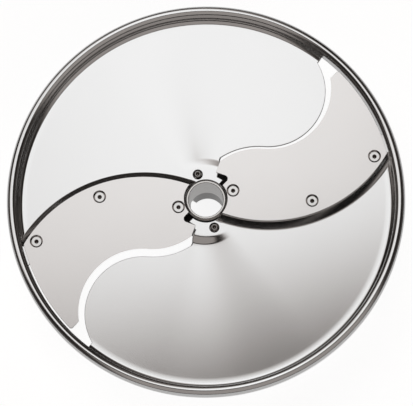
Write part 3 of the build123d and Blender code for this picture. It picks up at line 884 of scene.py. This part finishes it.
def screw_finish(name, finish, places):
    """Steel with painted shade, a darker tone, within a small radius of each screw's axis, where the driver's
    socket is. Each place stands for two screws, the second half a turn further round."""
    material = steel(name, *finish)
    for place in places:
        for turned in (place, -place):
            away = axis_distance(material, turned)
            socket = arithmetic(material.node_tree, "LESS_THAN", away, SOCKET_RADIUS * MM)
            # Painted shade: the socket about this axis gets the darker tone
            paint_shade(material, socket, SOCKET_PAINTED_SHADE)
    return material


def dress_node(node, material):
    """Gives a solid that is shown as it is its finish."""
    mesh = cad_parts[node].data
    mesh.materials.clear()
    mesh.materials.append(material)


# Studio

def soft_step(tree, value, start, end):
    """Rises smoothly from nought at the start to one at the end, which may be the smaller of the two."""
    node = tree.nodes.new("ShaderNodeMapRange")
    node.interpolation_type = "SMOOTHSTEP"
    node.inputs["From Min"].default_value = start
    node.inputs["From Max"].default_value = end
    tree.links.new(value, node.inputs["Value"])
    return node.outputs["Result"]


def ray_kinds(tree):
    """Whether a ray comes from the camera, and whether it is mirrored or let through."""
    seen = tree.nodes.new("ShaderNodeLightPath")
    mirrored = arithmetic(tree, "ADD", seen.outputs["Is Glossy Ray"], seen.outputs["Is Transmission Ray"])
    return seen.outputs["Is Camera Ray"], mirrored


def chosen(tree, share, first, second):
    """The first shader where the share is nought, and the second where it is one."""
    node = tree.nodes.new("ShaderNodeMixShader")
    for socket, value in zip(node.inputs, (share, first, second)):
        tree.links.new(value, socket)
    return node.outputs["Shader"]


def panel_light(tree, aside, back):
    """Large soft panel overhead, towards the back: the product of its fades. Its front edge, a quick core in
    a slow glow, lies further back on the left. It fades slowly to the right, and ends at left and back."""
    calc = partial(arithmetic, tree)
    fade = partial(soft_step, tree)
    lag = calc("MULTIPLY", calc("SUBTRACT", PANEL_MIDDLE, aside), PANEL_SKEW)
    lag = calc("MINIMUM", calc("MAXIMUM", lag, 0.0), PANEL_LAG)
    edge = calc("SUBTRACT", back, lag)
    core = calc("MULTIPLY", fade(edge, *EDGE_CORE), EDGE_CORE_SHARE)
    glow = calc("MULTIPLY", fade(edge, *EDGE_GLOW), 1 - EDGE_CORE_SHARE)
    left = calc("ADD", calc("MULTIPLY", fade(aside, *LEFT_FADE), LEFT_LOSS), 1 - LEFT_LOSS)
    ends = [fade(aside, *PANEL_RIGHT), fade(aside, *PANEL_LEFT), fade(back, *PANEL_BACK)]
    panel = calc("ADD", core, glow)
    for share in (left, *ends, PANEL_STRENGTH):
        panel = calc("MULTIPLY", panel, share)
    return panel


def front_and_side_light(tree, rise, aside, back):
    """Dim light that ends above the horizon: a wedge in front, set by the ratio of the two slopes, low side
    lights outside that wedge, and a trace all round."""
    calc = partial(arithmetic, tree)
    fade = partial(soft_step, tree)
    breadth = calc("ADD", calc("ABSOLUTE", back), FRONT_BREADTH)
    wedge = fade(calc("DIVIDE", calc("ABSOLUTE", aside), breadth), *FRONT_SPREAD)
    front = calc("MULTIPLY", calc("MULTIPLY", fade(back, *FRONT_TOP), wedge), FRONT_STRENGTH)
    sides = calc("MULTIPLY", fade(rise, *SIDE_TOP), calc("SUBTRACT", 1.0, wedge))
    sides = calc("ADD", calc("MULTIPLY", sides, SIDE_STRENGTH), ROOM_STRENGTH)
    return calc("MULTIPLY", calc("ADD", front, sides), fade(rise, *HORIZON))


def behind_light(tree, aside, back):
    """Dim light behind: a band between two slopes, in a wedge set by the ratio of the slopes."""
    calc = partial(arithmetic, tree)
    fade = partial(soft_step, tree)
    breadth = calc("MAXIMUM", calc("ABSOLUTE", back), LEAST_SLOPE)
    wedge = fade(calc("DIVIDE", calc("ABSOLUTE", aside), breadth), *BEHIND_SPREAD)
    band = calc("MULTIPLY", fade(back, *BEHIND_TOP), fade(back, *BEHIND_FOOT))
    return calc("MULTIPLY", calc("MULTIPLY", band, wedge), BEHIND_STRENGTH)


def studio_world():
    """Dark studio with an overhead panel and dim light round it, as sums and products of soft steps over the
    ray's slopes; dark parts are warmer. The camera sees white, and so does steel that mirrors downwards."""
    world = bpy.data.worlds.new("studio")
    bpy.context.scene.world = world
    world.use_nodes = True
    tree = world.node_tree
    tree.nodes.clear()
    calc = partial(arithmetic, tree)
    place = tree.nodes.new("ShaderNodeTexCoord")
    axes = tree.nodes.new("ShaderNodeSeparateXYZ")
    tree.links.new(place.outputs["Generated"], axes.inputs["Vector"])
    rise = axes.outputs["Z"]
    up = calc("MAXIMUM", rise, LEAST_RISE)
    aside = calc("DIVIDE", axes.outputs["X"], up)
    back = calc("DIVIDE", axes.outputs["Y"], up)
    dim = calc("ADD", front_and_side_light(tree, rise, aside, back), behind_light(tree, aside, back))
    light = calc("ADD", calc("ADD", panel_light(tree, aside, back), dim), DARK_STRENGTH)
    tint = tree.nodes.new("ShaderNodeMix")
    tint.data_type = "RGBA"
    tint.inputs["A"].default_value = (*DARK_TINT, 1)
    tint.inputs["B"].default_value = (1, 1, 1, 1)
    tree.links.new(light, tint.inputs["Factor"])
    studio = tree.nodes.new("ShaderNodeBackground")
    tree.links.new(light, studio.inputs["Strength"])
    tree.links.new(tint.outputs["Result"], studio.inputs["Color"])
    white = tree.nodes.new("ShaderNodeBackground")
    white.inputs["Color"].default_value = (1, 1, 1, 1)
    from_camera, mirrored = ray_kinds(tree)
    below = calc("MULTIPLY", mirrored, calc("LESS_THAN", rise, 0.0))
    white_share = calc("MAXIMUM", from_camera, below)
    shown = chosen(tree, white_share, studio.outputs["Background"], white.outputs["Background"])
    output = tree.nodes.new("ShaderNodeOutputWorld")
    tree.links.new(shown, output.inputs["Surface"])


def floor_finish():
    """Matt floor that keeps the disc's soft shadow, with a glow that makes it near white to the camera and
    less bright in steel. It is clear from below."""
    material = bpy.data.materials.new("floor_white")
    material.use_nodes = True
    tree = material.node_tree
    tree.nodes.clear()
    calc = partial(arithmetic, tree)
    matt = tree.nodes.new("ShaderNodeBsdfDiffuse")
    matt.inputs["Color"].default_value = (FLOOR_TONE, FLOOR_TONE, FLOOR_TONE, 1)
    from_camera, mirrored = ray_kinds(tree)
    to_camera = calc("MULTIPLY", from_camera, FLOOR_TO_CAMERA)
    in_metal = calc("MULTIPLY", mirrored, FLOOR_IN_METAL)
    glow = tree.nodes.new("ShaderNodeEmission")
    tree.links.new(calc("ADD", to_camera, in_metal), glow.inputs["Strength"])
    both = tree.nodes.new("ShaderNodeAddShader")
    tree.links.new(matt.outputs["BSDF"], both.inputs[0])
    tree.links.new(glow.outputs["Emission"], both.inputs[1])
    side = tree.nodes.new("ShaderNodeNewGeometry")
    clear = tree.nodes.new("ShaderNodeBsdfTransparent")
    shown = chosen(tree, side.outputs["Backfacing"], both.outputs["Shader"], clear.outputs["BSDF"])
    output = tree.nodes.new("ShaderNodeOutputMaterial")
    tree.links.new(shown, output.inputs["Surface"])
    return material


def studio_floor():
    """Plain square floor under the hub."""
    reach = FLOOR_REACH * MM
    corners = [(-reach, -reach, 0), (reach, -reach, 0), (reach, reach, 0), (-reach, reach, 0)]
    mesh = bpy.data.meshes.new("floor")
    mesh.from_pydata(corners, [], [(0, 1, 2, 3)])
    mesh.materials.append(floor_finish())
    floor = placed("floor", mesh)


def camera():
    """Camera on the photograph's line of sight, rolled as the photograph is."""
    azimuth = radians(VIEW_AZIMUTH)
    elevation = radians(VIEW_ELEVATION)
    roll = radians(VIEW_ROLL)
    back = Vector((sin(azimuth) * cos(elevation), -cos(azimuth) * cos(elevation), sin(elevation)))
    right = Vector((cos(azimuth), sin(azimuth), 0))
    above = back.cross(right)
    side = cos(roll) * right + sin(roll) * above
    up = cos(roll) * above - sin(roll) * right
    data = bpy.data.cameras.new("camera")
    data.sensor_width = SENSOR_WIDTH
    data.sensor_fit = "HORIZONTAL"
    data.lens = FOCAL_PIXELS * SENSOR_WIDTH / IMAGE_WIDTH
    data.clip_end = VIEW_DEPTH * MM
    turn = Matrix((side, up, back)).transposed().to_4x4()
    turn.translation = (Vector(VIEW_TARGET) + back * VIEW_DISTANCE) * MM
    made = placed("camera", data)
    made.matrix_world = turn
    bpy.context.scene.camera = made


# The disc
plate_steel = plate_finish()
cut_steel = cut_edge_finish()
blade_steel = blade_finish()
outer_place, middle_place, hub_place = screw_places()
dome_place = np.array([0.0, HUB_PITCH_RADIUS])

plate(plate_steel, cut_steel)
blade("blade_right_ground", "blade_right", blade_steel, False)
blade("blade_left_ground", "blade_left", blade_steel, True)
dress_node("hub", hub_finish())
dress_node("blade_rim_screws", screw_finish("rim_screw_steel_socket_shade", SCREW_FINISH, [outer_place, middle_place]))
dress_node("blade_hub_screws", screw_finish("hub_screw_steel_socket_shade", SCREW_FINISH, [hub_place]))
# Painted shade: the domed plate screws take the darker dome tone
dress_node("plate_screws", screw_finish("plate_screw_steel_painted_shade", DOME_PAINTED_SHADE_FINISH, [dome_place]))
dress_node("blade_nuts", nut_finish())

# Its surroundings
studio_world()
studio_floor()
camera()
bpy.context.scene.view_settings.view_transform = "Standard"
